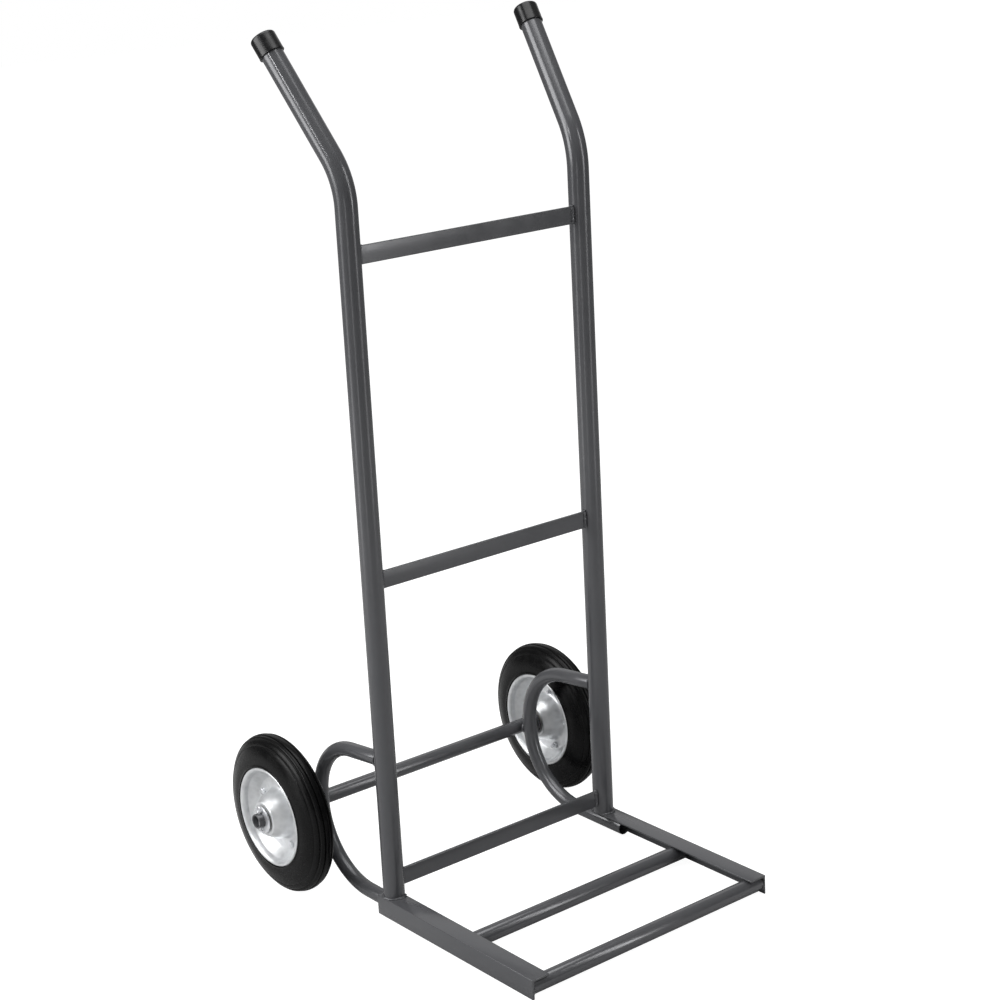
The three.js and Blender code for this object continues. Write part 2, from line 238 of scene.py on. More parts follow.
# ---- Handle caps --------------------------------------------------------------------------------
# Each handle ends in a pushed-on cup of glossy black plastic, slightly wider than the tube, with a
# rounded end and a thin flared mouth.
CAP_LENGTH = 29.5 * mm
CAP_R = 18.2 * mm
CAP_BORE = 16.05 * mm
CAP_MOUTH_DEPTH = 14 * mm
CAP_ROUNDING = 4 * mm
CAP_FLARE = 1.022
CAP_LIP = 2.4 * mm


def pick(piece, kind, wanted):
    """Selects the faces, edges or corners whose middle, and normal for faces, are wanted."""
    bpy.ops.mesh.select_mode(type=kind)
    bpy.ops.mesh.select_all(action="DESELECT")
    mesh = bmesh.from_edit_mesh(piece.data)
    if kind == "FACE":
        chosen = [f for f in mesh.faces if wanted(f.calc_center_median(), f.normal)]
    elif kind == "EDGE":
        chosen = [e for e in mesh.edges if wanted(e.verts[0].co, e.verts[1].co)]
    else:
        chosen = [v for v in mesh.verts if wanted(v.co)]
    for item in chosen:
        item.select_set(True)
    mesh.select_flush_mode()
    bmesh.update_edit_mesh(piece.data)


def glossy_plastic():
    """Black moulded plastic with a faint mould grain and finger smears in its gloss."""
    material, tree, shader, place = new_material("black_cap_plastic")
    black = ramp(tree, noise(tree, place, 60).outputs["Fac"],
                 [(0.3, (0.0025, 0.0025, 0.003)), (0.7, (0.005, 0.005, 0.0055))])
    tree.links.new(black, shader.inputs["Base Color"])
    gloss = ramp(tree, noise(tree, place, 140, detail=6).outputs["Fac"], [(0.3, 0.20), (0.7, 0.30)])
    tree.links.new(gloss, shader.inputs["Roughness"])
    shader.inputs["Specular IOR Level"].default_value = 0.3
    grain = noise(tree, place, 1500, detail=2)
    roughen(tree, shader, grain.outputs["Fac"], 0.02, 0.1 * mm)
    return material


cap_plastic = glossy_plastic()
for side in ("left", "right"):
    tube_end, along = handle_ends[side]
    cap_end = tube_end + along * (CAP_END_WALL + CAP_GAP)
    middle = cap_end - along * CAP_LENGTH / 2
    cap = begin(bpy.ops.mesh.primitive_cylinder_add, f"{side}_grip_cap", vertices=64, radius=CAP_R,
                depth=CAP_LENGTH, location=middle, rotation=along.to_track_quat("Z", "Y").to_euler())
    mouth = middle - along * CAP_LENGTH / 2
    pick(cap, "FACE", lambda at, normal: normal.dot(along) > 0.9)
    bpy.ops.mesh.bevel(offset=CAP_ROUNDING, segments=6, affect="EDGES")
    pick(cap, "FACE", lambda at, normal: normal.dot(along) > 0.999)
    bpy.ops.mesh.inset(thickness=7 * mm)
    bpy.ops.transform.translate(value=along * 0.6 * mm)
    pick(cap, "FACE", lambda at, normal: normal.dot(along) < -0.9)
    bpy.ops.mesh.inset(thickness=CAP_R - CAP_BORE)
    bpy.ops.mesh.extrude_region_move(TRANSFORM_OT_translate={"value": along * CAP_MOUTH_DEPTH})
    bpy.ops.mesh.select_all(action="SELECT")
    bpy.ops.mesh.bisect(plane_co=mouth + along * CAP_LIP, plane_no=along)
    pick(cap, "VERT", lambda at: ((at - mouth).dot(along) < 0.1 * mm
                                  and (at - mouth).length > CAP_R - 0.2 * mm))
    bpy.ops.transform.resize(value=(CAP_FLARE,) * 3, center_override=mouth)
    tidy_shell()
    apply(cap, "BEVEL", width=0.5 * mm, segments=3, limit_method="ANGLE", angle_limit=radians(40))
    smooth(cap, 40)
    stand(cap)
    paint(cap, cap_plastic)
    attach(cap, "frame")
    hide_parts(f"{side}_handle_cap")

# ---- Crossbars ----------------------------------------------------------------------------------
# Three lengths of 26 by 5 mm flat steel bar on edge between the uprights, with rolled edges. Their
# ends butt against the tubes a little in front of the middle, and are welded there.
BAR_HEIGHT = 26 * mm
BAR_THICKNESS = 4.8 * mm
BAR_ROUNDING = 1.0 * mm
BAR_Y = -2.1 * mm
BAR_Z = {"lower": 56 * mm, "middle": 517 * mm, "top": 981 * mm}
BAR_LENGTH = 2 * (FRAME_X - 14.9 * mm)

for level, bar_z in BAR_Z.items():
    bar = begin(bpy.ops.mesh.primitive_cube_add, f"{level}_flat_bar", size=1,
                location=(0, BAR_Y, bar_z), scale=(BAR_LENGTH, BAR_THICKNESS, BAR_HEIGHT))
    pick(bar, "EDGE", lambda a, b: abs(a.x - b.x) > BAR_LENGTH / 2)
    bpy.ops.mesh.bevel(offset=BAR_ROUNDING, segments=4, affect="EDGES")
    tidy_shell()
    smooth(bar)
    stand(bar)
    paint(bar, grey_enamel)
    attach(bar, "frame")
    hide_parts(f"{level}_crossbar")

# ---- Toe side rails -----------------------------------------------------------------------------
# Two lengths of 30 by 30 by 3 mm hot-rolled angle iron. The flange lies on top and points inward,
# the leg hangs down outside; the heel is crisp, the inside corner filleted and the toes rounded.
RAIL_X = 224 * mm
RAIL_LEG = 30 * mm
RAIL_THICKNESS = 3 * mm
RAIL_FRONT = -338 * mm
RAIL_BACK = 18 * mm
RAIL_FILLET = 3 * mm
RAIL_TOE_ROUNDING = 1.6 * mm
RAIL_EDGE = 0.45 * mm


def mirrored(piece, name):
    """A copy for the other side of the truck, with its own mesh and its faces outward."""
    twin = piece.copy()
    twin.data = piece.data.copy()
    twin.name = twin.data.name = name
    bpy.context.scene.collection.objects.link(twin)
    twin.data.transform(Matrix.Diagonal((-1, 1, 1, 1)))
    twin.data.flip_normals()
    return twin


rail_length = RAIL_BACK - RAIL_FRONT
rail_middle = (RAIL_BACK + RAIL_FRONT) / 2
flange_middle = Vector((RAIL_X - RAIL_LEG / 2, rail_middle, RAIL_TOP))
rail = begin(bpy.ops.mesh.primitive_plane_add, "right_side_rail", size=RAIL_LEG, location=flange_middle)
bpy.ops.transform.resize(value=(1, rail_length / RAIL_LEG, 1), center_override=flange_middle)
pick(rail, "EDGE", lambda a, b: min(a.x, b.x) > RAIL_X - mm)
bpy.ops.mesh.extrude_region_move(TRANSFORM_OT_translate={"value": (0, 0, -RAIL_LEG)})
tidy_shell()
apply(rail, "SOLIDIFY", thickness=RAIL_THICKNESS, offset=-1, use_even_offset=True)
bpy.ops.object.mode_set(mode="EDIT")
inner_x = RAIL_X - RAIL_THICKNESS
inner_z = RAIL_TOP - RAIL_THICKNESS


def along_rail(a, b, x, z):
    """Whether an edge runs along the rail at that x and z."""
    near = all(abs(p.x - x) < 0.1 * mm and abs(p.z - z) < 0.1 * mm for p in (a, b))
    return near and abs(a.y - b.y) > rail_length / 2


pick(rail, "EDGE", lambda a, b: along_rail(a, b, inner_x, inner_z))
bpy.ops.mesh.bevel(offset=RAIL_FILLET, segments=6, affect="EDGES")
pick(rail, "EDGE", lambda a, b: (along_rail(a, b, RAIL_X - RAIL_LEG, inner_z)
                                 or along_rail(a, b, inner_x, 0)))
bpy.ops.mesh.bevel(offset=RAIL_TOE_ROUNDING, segments=4, affect="EDGES")
tidy_shell()
apply(rail, "BEVEL", width=RAIL_EDGE, segments=3, limit_method="ANGLE", angle_limit=radians(40))
smooth(rail)
stand(rail)
for side, side_rail in (("right", rail), ("left", mirrored(rail, "left_side_rail"))):
    paint(side_rail, grey_enamel)
    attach(side_rail, "frame")
    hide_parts(f"{side}_toe_angle")

# ---- Toe cross tubes ----------------------------------------------------------------------------
# Two 24 mm steel tubes that carry the load between the side rails. They lie under the flanges and
# butt against the rails' legs.
TOE_TUBE_R = 11.9 * mm
FLANGE_GAP = 0.2 * mm
TOE_TUBE_Z = RAIL_TOP - RAIL_THICKNESS - FLANGE_GAP - TOE_TUBE_R
TOE_TUBE_HALF = 220.4 * mm
TOE_TUBE_Y = {"middle": -170 * mm, "front": -326 * mm}

for name, tube_y in TOE_TUBE_Y.items():
    end = Vector((-TOE_TUBE_HALF, tube_y, TOE_TUBE_Z))
    tube = draw_ring(f"{name}_cross_tube", TOE_TUBE_R, 48, end, (1, 0, 0))
    carry(end, (1, 0, 0), (0, 0, 1), [2 * TOE_TUBE_HALF])
    tidy_shell()
    apply(tube, "SOLIDIFY", thickness=TUBE_WALL, offset=-1)
    apply(tube, "BEVEL", width=0.3 * mm, segments=2, limit_method="ANGLE", angle_limit=radians(40))
    smooth(tube)
    stand(tube)
    paint(tube, grey_enamel)
    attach(tube, "frame")
    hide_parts(f"{name}_toe_tube")

# ---- Wheel brackets -----------------------------------------------------------------------------
# A bent 22 mm tube behind each upright. It leaves the upright's back, turns down in front of the
# axle and runs forward under the rail's flange, where its open end shows.
BRACKET_R = 11.1 * mm
BRACKET_TOP_Z = 242.7 * mm
BRACKET_SLOPE = 5.9
BRACKET_BACK_Y = 174.5 * mm
BRACKET_UPPER_R = 99.6 * mm
BRACKET_LOWER_R = 111 * mm
BRACKET_FRONT_Y = -48 * mm
BRACKET_FOOT_Z = RAIL_TOP - RAIL_THICKNESS - FLANGE_GAP - BRACKET_R

slope = radians(BRACKET_SLOPE)
arm_heading = Vector((0, cos(slope), -sin(slope)))
arm_start = Vector((FRAME_X, 8 * mm, BRACKET_TOP_Z + 7.9 * mm * sin(slope) / cos(slope)))
bend_start_y = BRACKET_BACK_Y - BRACKET_UPPER_R * (1 - sin(slope))
arm_length = (bend_start_y - arm_start.y) / cos(slope)
bend_start_z = arm_start.z - arm_length * sin(slope)
upright_run = (bend_start_z - BRACKET_UPPER_R * cos(slope)) - (BRACKET_FOOT_Z + BRACKET_LOWER_R)
foot_run = BRACKET_BACK_Y - BRACKET_LOWER_R - BRACKET_FRONT_Y
bracket = draw_ring("right_bracket_tube", BRACKET_R, 48, arm_start, arm_heading)
carry(arm_start, arm_heading, (-1, 0, 0),
      [arm_length, (90 - BRACKET_SLOPE, BRACKET_UPPER_R, 20), upright_run,
       (90, BRACKET_LOWER_R, 20), foot_run])
tidy_shell()
apply(bracket, "SOLIDIFY", thickness=TUBE_WALL, offset=-1)
apply(bracket, "BEVEL", width=0.3 * mm, segments=2, limit_method="ANGLE", angle_limit=radians(50))
smooth(bracket)
stand(bracket)
for side, tube in (("right", bracket), ("left", mirrored(bracket, "left_bracket_tube"))):
    paint(tube, grey_enamel)
    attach(tube, "frame")
    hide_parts(f"{side}_wheel_bracket")

# ---- Axle ---------------------------------------------------------------------------------------
# One 22 mm thick-walled tube across the truck, welded behind the brackets. It sticks out past the
# wheels, with a hole across each end for a split pin.
AXLE_R = 11.1 * mm
AXLE_WALL = 2.4 * mm
AXLE_HALF = 311.5 * mm
PIN_X = 305 * mm
PIN_HOLE_R = 2.4 * mm

axle_end = Vector((-AXLE_HALF, AXLE_Y, AXLE_Z))
axle = draw_ring("axle_bar", AXLE_R, 64, axle_end, (1, 0, 0))
carry(axle_end, (1, 0, 0), (0, 0, 1), [2 * AXLE_HALF])
tidy_shell()
apply(axle, "SOLIDIFY", thickness=AXLE_WALL, offset=-1)
for pin_x in (-PIN_X, PIN_X):
    drill_start = Vector((pin_x, AXLE_Y, AXLE_Z - 2 * AXLE_R))
    drill = draw_ring("drill", PIN_HOLE_R, 24, drill_start, (0, 0, 1), filled=True)
    carry(drill_start, (0, 0, 1), (1, 0, 0), [4 * AXLE_R])
    tidy_shell()
    apply(axle, "BOOLEAN", operation="DIFFERENCE", object=drill, solver="EXACT")
    bpy.data.objects.remove(drill)
apply(axle, "BEVEL", width=0.4 * mm, segments=2, limit_method="ANGLE", angle_limit=radians(50))
smooth(axle)
stand(axle)
paint(axle, grey_enamel)
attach(axle, "frame")
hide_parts("axle_tube")

# ---- Washers ------------------------------------------------------------------------------------
# A thick steel washer, welded to the axle and painted with it, stops each wheel on the inside. A
# thinner zinc-plated one lies between the wheel and its split pin. Both have rounded rims.
WHEEL_X = 264.5 * mm
WASHER_R = 21 * mm
WASHER_BORE = 11.3 * mm
STOP_INNER, STOP_OUTER = -39.6 * mm, -35.6 * mm
WASHER_INNER, WASHER_OUTER = 35.6 * mm, 38.1 * mm


def turn_section(name, section, steps, closed=True):
    """Draws a section through (radius, x) corners, in millimetres, and turns it about the X axis."""
    radius, x = section[0]
    piece = begin(bpy.ops.mesh.primitive_plane_add, name, size=mm, location=(x * mm, 0, radius * mm))
    bpy.ops.mesh.merge(type="CENTER")
    corners = [*section, section[0]] if closed else section
    for (radius, x), (next_radius, next_x) in zip(corners, corners[1:]):
        step = Vector((next_x - x, 0, next_radius - radius)) * mm
        bpy.ops.mesh.extrude_vertices_move(TRANSFORM_OT_translate={"value": step})
    bpy.ops.mesh.select_all(action="SELECT")
    bpy.ops.mesh.remove_doubles(threshold=0.001 * mm)
    bpy.ops.mesh.select_all(action="SELECT")
    bpy.ops.mesh.spin(steps=steps, angle=2 * pi, center=(0, 0, 0), axis=(1, 0, 0))
    tidy_shell()
    return piece


def copied(piece, name, place):
    """A copy with its own mesh, moved and turned to its place."""
    twin = piece.copy()
    twin.data = piece.data.copy()
    twin.name = twin.data.name = name
    bpy.context.scene.collection.objects.link(twin)
    twin.data.transform(place)
    twin.data.update()
    return twin


def at_wheel(side):
    """Where a wheel's own parts go: its outer face points away from the truck."""
    sign = -1 if side == "left" else 1
    half_turn = Matrix.Rotation(pi if side == "left" else 0, 4, "Z")
    return Matrix.Translation((sign * WHEEL_X, AXLE_Y, AXLE_Z)) @ half_turn


def zinc(name, darkest, lightest, roughest=0.42):
    """Zinc-plated sheet steel: a faint spangle, drawing marks and a dull bloom in places."""
    material, tree, shader, place = new_material(name)
    spangle = add_node(tree, "ShaderNodeTexVoronoi", {"Vector": place, "Scale": 110.0})
    bloom = noise(tree, place, 45, detail=6)
    tone = add_node(tree, "ShaderNodeMix", {"Factor": 0.3, "A": bloom.outputs["Fac"],
                                            "B": spangle.outputs["Distance"]}, data_type="FLOAT")
    plate = ramp(tree, tone.outputs["Result"], [(0.25, darkest), (0.65, lightest)])
    tree.links.new(plate, shader.inputs["Base Color"])
    dull = ramp(tree, bloom.outputs["Fac"], [(0.3, roughest - 0.14), (0.7, roughest)])
    tree.links.new(dull, shader.inputs["Roughness"])
    shader.inputs["Metallic"].default_value = 0.8
    marks = noise(tree, place, 260, detail=5)
    roughen(tree, shader, marks.outputs["Fac"], 0.12, 0.2 * mm)
    return material


def washer(name, inner, outer, rounding):
    """A flat ring about the X axis with rounded rims."""
    section = [(WASHER_BORE, inner), (WASHER_R, inner), (WASHER_R, outer), (WASHER_BORE, outer)]
    piece = turn_section(name, [(radius / mm, x / mm) for radius, x in section], 64)
    apply(piece, "BEVEL", width=rounding, segments=3, limit_method="ANGLE", angle_limit=radians(50))
    smooth(piece)
    return piece


bright_zinc = zinc("bright_zinc", (0.50, 0.51, 0.53), (0.72, 0.73, 0.75), roughest=0.34)
stop = washer("stop", STOP_INNER, STOP_OUTER, 0.6 * mm)
loose = washer("loose", WASHER_INNER, WASHER_OUTER, 0.5 * mm)
for side in ("left", "right"):
    stop_ring = copied(stop, f"{side}_stop_ring", at_wheel(side))
    stand(stop_ring)
    paint(stop_ring, grey_enamel)
    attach(stop_ring, "frame")
    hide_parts(f"{side}_stop_washer")
    loose_ring = copied(loose, f"{side}_loose_ring", at_wheel(side))
    stand(loose_ring)
    paint(loose_ring, bright_zinc)
    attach(loose_ring, "frame")
    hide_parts(f"{side}_outer_washer")
bpy.data.objects.remove(stop)
bpy.data.objects.remove(loose)

# ---- Split pins ---------------------------------------------------------------------------------
# A zinc-plated wire bent double through each end of the axle: its round eye stands on top and its
# two legs are spread underneath.
WIRE_R = 1.15 * mm
LEG_Y = 1.2 * mm
EYE_R = 4.6 * mm
NECK_R = 1.6 * mm
TIP_LENGTH = 5 * mm
TIP_TURN = 35

neck_turn = acos((LEG_Y + NECK_R) / (EYE_R + NECK_R)) * 180 / pi
leg_length = 2 * AXLE_R + 1.6 * mm
tip_heading = Vector((0, -sin(radians(TIP_TURN)), cos(radians(TIP_TURN))))
tip_bend = 2.5 * mm
tip_top = Vector((PIN_X, AXLE_Y + LEG_Y, AXLE_Z - AXLE_R - 0.8 * mm))
tip_start = tip_top + Vector((0, tip_bend * (1 - cos(radians(TIP_TURN))), -tip_bend * sin(radians(TIP_TURN))))
tip_start = tip_start - tip_heading * TIP_LENGTH
split_pin = draw_ring("right_pin_wire", WIRE_R, 16, tip_start, tip_heading, filled=True)
carry(tip_start, tip_heading, (-1, 0, 0),
      [TIP_LENGTH, (TIP_TURN, tip_bend, 4), leg_length, (neck_turn, NECK_R, 5),
       (-180 - 2 * neck_turn, EYE_R, 28), (neck_turn, NECK_R, 5), leg_length,
       (TIP_TURN, tip_bend, 4), TIP_LENGTH])
tidy_shell()
apply(split_pin, "BEVEL", width=0.35 * mm, segments=2, limit_method="ANGLE", angle_limit=radians(60))
smooth(split_pin, 50)
stand(split_pin)
for side, wire in (("right", split_pin), ("left", mirrored(split_pin, "left_pin_wire"))):
    paint(wire, bright_zinc)
    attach(wire, "frame")
    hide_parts(f"{side}_split_pin")

# ---- Tyres --------------------------------------------------------------------------------------
# Solid black rubber tyres, moulded in one piece: a raised ring round the rim, smooth side walls, a
# step at the shoulder and a tread of three ribs with two grooves.
TYRE_STEPS = 144
TYRE_HALF = [(60.6, 1.2), (71.5, 14.8), (72.5, 20.8), (77, 23.6), (77.4, 25.4), (78.6, 26.1), (80.2, 25.6),
             (81.2, 24.9), (86, 24.6), (92, 23.6), (98, 21.9), (104, 19.6), (108.2, 17.8), (108.8, 16.9),
             (110.6, 16.8), (114, 14.9), (116.6, 13.2), (116.0, 12.2), (116.3, 11.4), (119.6, 10.9),
             (121.2, 9.0), (122.0, 6.2), (119.6, 5.6), (119.6, 4.6), (122.8, 4.0), (123.2, 1.6)]


def tyre_rubber():
    """Black rubber with a dull bloom, fine mould grain and rub marks round the tread."""
    material, tree, shader, place = new_material("tyre_rubber")
    bloom = noise(tree, place, 28, detail=6)
    rubber = ramp(tree, bloom.outputs["Fac"],
                  [(0.3, (0.0020, 0.0020, 0.0021)), (0.7, (0.0045, 0.0045, 0.0046))])
    tree.links.new(rubber, shader.inputs["Base Color"])
    scuffs = noise(tree, place, 70, detail=8, stretch=(6, 1, 1))
    gloss = ramp(tree, scuffs.outputs["Fac"], [(0.3, 0.18), (0.72, 0.34)])
    tree.links.new(gloss, shader.inputs["Roughness"])
    shader.inputs["Specular IOR Level"].default_value = 0.11
    grain = noise(tree, place, 700, detail=4)
    roughen(tree, shader, grain.outputs["Fac"], 0.1, 0.2 * mm)
    return material


rubber = tyre_rubber()
tyre_section = TYRE_HALF + [(radius, -x) for radius, x in reversed(TYRE_HALF)]
tyre = turn_section("tyre", tyre_section, TYRE_STEPS)
apply(tyre, "BEVEL", width=0.3 * mm, segments=2, limit_method="ANGLE", angle_limit=radians(28))
smooth(tyre, 45)
for side in ("left", "right"):
    tread = copied(tyre, f"{side}_rubber_tyre", at_wheel(side))
    stand(tread)
    paint(tread, rubber)
    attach(tread, f"{side}_wheel")
    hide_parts(f"{side}_tyre")
bpy.data.objects.remove(tyre)

# ---- Rims ---------------------------------------------------------------------------------------
# Each rim is two pressed halves of 2 mm zinc-plated steel, bolted back to back. A half has a rolled
# lip, a bead seat, a cone down to the flat bolting face and a round dome that rises to the boss.
RIM_SHEET = 2.0
RIM_STEPS = 96
RIM_TURN = {"left": radians(63.5), "right": radians(15.5)}
RIM_MIDDLE = [(16.6, 32.0), (22.6, 32.0), (24.2, 32.9), (26.0, 32.5), (26.7, 31.0), (28.3, 28.6),
              (31.2, 24.6), (34.0, 19.0), (36.2, 12.6), (37.7, 6.6), (39.4, 2.6), (42, 1.3), (47, 1.15),
              (52, 1.15), (56.4, 1.2), (58.0, 1.9), (59.2, 3.2), (63.5, 8.2), (68.0, 13.6), (69.6, 15.6),
              (70.1, 16.6), (70.4, 19.2), (71.2, 21.8), (72.6, 23.8), (74.6, 25.0), (76.0, 24.9), (76.5, 23.8)]

rim = turn_section("rim", RIM_MIDDLE, RIM_STEPS, closed=False)
apply(rim, "SOLIDIFY", thickness=RIM_SHEET * mm, offset=0)
apply(rim, "SUBSURF", levels=1, render_levels=1)
smooth(rim, 60)
rim_zinc = zinc("rim_zinc", (0.52, 0.53, 0.54), (0.68, 0.69, 0.70), roughest=0.5)
for side in ("left", "right"):
    for face, back in (("outer", 0), ("inner", pi)):
        place = at_wheel(side) @ Matrix.Rotation(RIM_TURN[side], 4, "X") @ Matrix.Rotation(back, 4, "Z")
        half = copied(rim, f"{side}_{face}_rim_half", place)
        stand(half)
        paint(half, rim_zinc)
        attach(half, f"{side}_wheel")
        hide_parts(f"{side}_{face}_rim")
bpy.data.objects.remove(rim)

# ---- Rim bolts and nuts -------------------------------------------------------------------------
# Five small zinc-plated hexagon bolts hold each rim together, their heads outward and their nuts on
# the inner face.
BOLT_COUNT = 5
BOLT_CIRCLE_R = 49.5 * mm
BOLT_SHANK_R = 2.9 * mm
HEAD_R = 5.6 * mm
HEAD_HEIGHT = 4 * mm
SHANK_LENGTH = 14 * mm
SEAT_X = 2.2 * mm

head = draw_ring("rim_bolt", HEAD_R, 6, (SEAT_X, 0, 0), (1, 0, 0), filled=True)
carry((SEAT_X, 0, 0), (1, 0, 0), (0, 0, 1), [HEAD_HEIGHT])
pick(head, "FACE", lambda at, normal: normal.x > 0.9)
bpy.ops.mesh.inset(thickness=0.7 * mm)
bpy.ops.transform.translate(value=(0.5 * mm, 0, 0))
pick(head, "FACE", lambda at, normal: normal.x < -0.9)
bpy.ops.mesh.inset(thickness=HEAD_R - BOLT_SHANK_R - 0.4 * mm)
bpy.ops.mesh.extrude_region_move(TRANSFORM_OT_translate={"value": (-SHANK_LENGTH, 0, 0)})
tidy_shell()
apply(head, "BEVEL", width=0.35 * mm, segments=2, limit_method="ANGLE", angle_limit=radians(25))
smooth(head)
nut = draw_ring("rim_nut", HEAD_R, 6, (-SEAT_X, 0, 0), (-1, 0, 0), filled=True)
carry((-SEAT_X, 0, 0), (-1, 0, 0), (0, 0, 1), [HEAD_HEIGHT])
pick(nut, "FACE", lambda at, normal: normal.x < -0.9)
bpy.ops.mesh.inset(thickness=1.6 * mm)
bpy.ops.mesh.extrude_region_move(TRANSFORM_OT_translate={"value": (1.2 * mm, 0, 0)})
tidy_shell()
apply(nut, "BEVEL", width=0.4 * mm, segments=2, limit_method="ANGLE", angle_limit=radians(25))
smooth(nut)
for side in ("left", "right"):
    for i in range(BOLT_COUNT):
        angle = 2 * pi * i / BOLT_COUNT
        out = Matrix.Translation((0, BOLT_CIRCLE_R * sin(angle), BOLT_CIRCLE_R * cos(angle)))
        place = at_wheel(side) @ Matrix.Rotation(RIM_TURN[side], 4, "X") @ out
        for master, kind in ((head, "bolt"), (nut, "nut")):
            fastener = copied(master, f"{side}_hexagon_{kind}_{i + 1}", place)
            stand(fastener)
            paint(fastener, bright_zinc)
            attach(fastener, f"{side}_wheel")
            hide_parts(f"{side}_rim_{kind}_{i + 1}")
bpy.data.objects.remove(head)
bpy.data.objects.remove(nut)

# ---- Hubs ---------------------------------------------------------------------------------------
# A plain steel tube through each rim, with a flanged nylon bush pressed into each end. Little of
# them shows between the washers, so they keep their frame shapes.


def nylon():
    """Off-white nylon, slightly greasy, with grey grime in patches."""
    material, tree, shader, place = new_material("bush_nylon")
    grime = noise(tree, place, 90, detail=5)
    cream = ramp(tree, grime.outputs["Fac"], [(0.35, (0.30, 0.29, 0.27)), (0.6, (0.62, 0.60, 0.54))])
    tree.links.new(cream, shader.inputs["Base Color"])
    gloss = ramp(tree, grime.outputs["Fac"], [(0.3, 0.32), (0.7, 0.5)])
    tree.links.new(gloss, shader.inputs["Roughness"])
    return material


bush_nylon = nylon()
for side in ("left", "right"):
    paint(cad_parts[f"{side}_hub_tube"], bright_zinc)
    for face in ("outer", "inner"):
        paint(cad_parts[f"{side}_{face}_bush"], bush_nylon)

# ---- Welds --------------------------------------------------------------------------------------
# Short lumpy beads of arc weld join the frame. They were laid by hand and then enamelled over, so
# they are heavy on the right-hand ends of the crossbars and thin on the left-hand ones.
THIN_BEAD_R = 1.7 * mm
HEAVY_BEAD_R = 3.2 * mm
SEAM_LENGTH = 55 * mm

weld_enamel = enamel("weld_enamel", lumps=0.5)
lumps = bpy.data.textures.new("weld_lumps", "CLOUDS")
lumps.noise_scale = 3.2 * mm
lumps.noise_depth = 2


def weld(name, radius, at, heading, axis, run, lumpiness=1.5):
    """One bead: a round carried along the joint, rounded off at its ends and made lumpy."""
    bead = draw_ring(name, radius, 10, at, heading, filled=True)
    carry(at, heading, axis, run)
    tidy_shell()
    apply(bead, "SUBSURF", levels=2, render_levels=2)
    apply(bead, "DISPLACE", texture=lumps, texture_coords="LOCAL", strength=lumpiness * mm, mid_level=0.5)
    smooth(bead, 60)
    stand(bead)
    paint(bead, weld_enamel)
    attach(bead, "frame")


def short_runs(length, count):
    """A straight bead's length in equal steps, so that it can be lumpy along its way."""
    return [length / count] * count


for side, sign in (("left", -1), ("right", 1)):
    x = sign * FRAME_X
    # round the upright's foot, open where the tube overhangs the flange
    gap = acos((FRAME_X - (RAIL_X - RAIL_LEG)) / UPRIGHT_R)
    foot_r = UPRIGHT_R + 0.8 * mm
    begin_at = Vector((x - sign * foot_r * cos(gap), -foot_r * sin(gap), RAIL_TOP + 0.4 * mm))
    around = Vector((0, 0, sign))
    tangent = around.cross(begin_at - Vector((x, 0, begin_at.z))).normalized()
    weld(f"{side}_foot_weld", 2.0 * mm, begin_at, tangent, around,
         [(360 - 2 * gap * 180 / pi, foot_r, 64)])
    # round the bracket's upper end, against the back of the upright
    saddle_r = BRACKET_R + 0.8 * mm
    saddle_at = Vector((x, 13.6 * mm, BRACKET_TOP_Z - saddle_r))
    weld(f"{side}_bracket_weld", THIN_BEAD_R, saddle_at, (1, 0, 0), (0, -1, 0), [(359, saddle_r, 48)])
    # where the axle touches the bracket
    touch_r = 6.5 * mm
    touch_at = Vector((x, AXLE_Y - AXLE_R - 0.3 * mm, AXLE_Z - touch_r))
    weld(f"{side}_axle_weld", 3 * mm, touch_at, (1, 0, 0), (0, -1, 0), [(359, touch_r, 36)])
    # round the stop washer's inner face
    ring_r = AXLE_R + 0.8 * mm
    ring_at = Vector((sign * (WHEEL_X + STOP_INNER), AXLE_Y, AXLE_Z - ring_r))
    weld(f"{side}_stop_weld", THIN_BEAD_R, ring_at, (0, 1, 0), (1, 0, 0), [(359, ring_r, 48)], 0.9)
    # along the bracket's foot, under the flange
    for place, off in (("inner", -1), ("outer", 1)):
        foot_at = Vector((x + off * 5.5 * mm, -44 * mm, RAIL_TOP - RAIL_THICKNESS - 0.8 * mm))
        weld(f"{side}_{place}_foot_seam", 1.8 * mm, foot_at, (0, 1, 0), (0, 0, 1),
             short_runs(SEAM_LENGTH, 22), 1.0)
    # under each cross tube's end, against the rail's leg
    for name, tube_y in TOE_TUBE_Y.items():
        end_at = Vector((sign * TOE_TUBE_HALF, tube_y - TOE_TUBE_R, TOE_TUBE_Z))
        weld(f"{side}_{name}_toe_weld", THIN_BEAD_R, end_at, (0, 0, -1), (1, 0, 0),
             [(180, TOE_TUBE_R, 30)], 0.9)

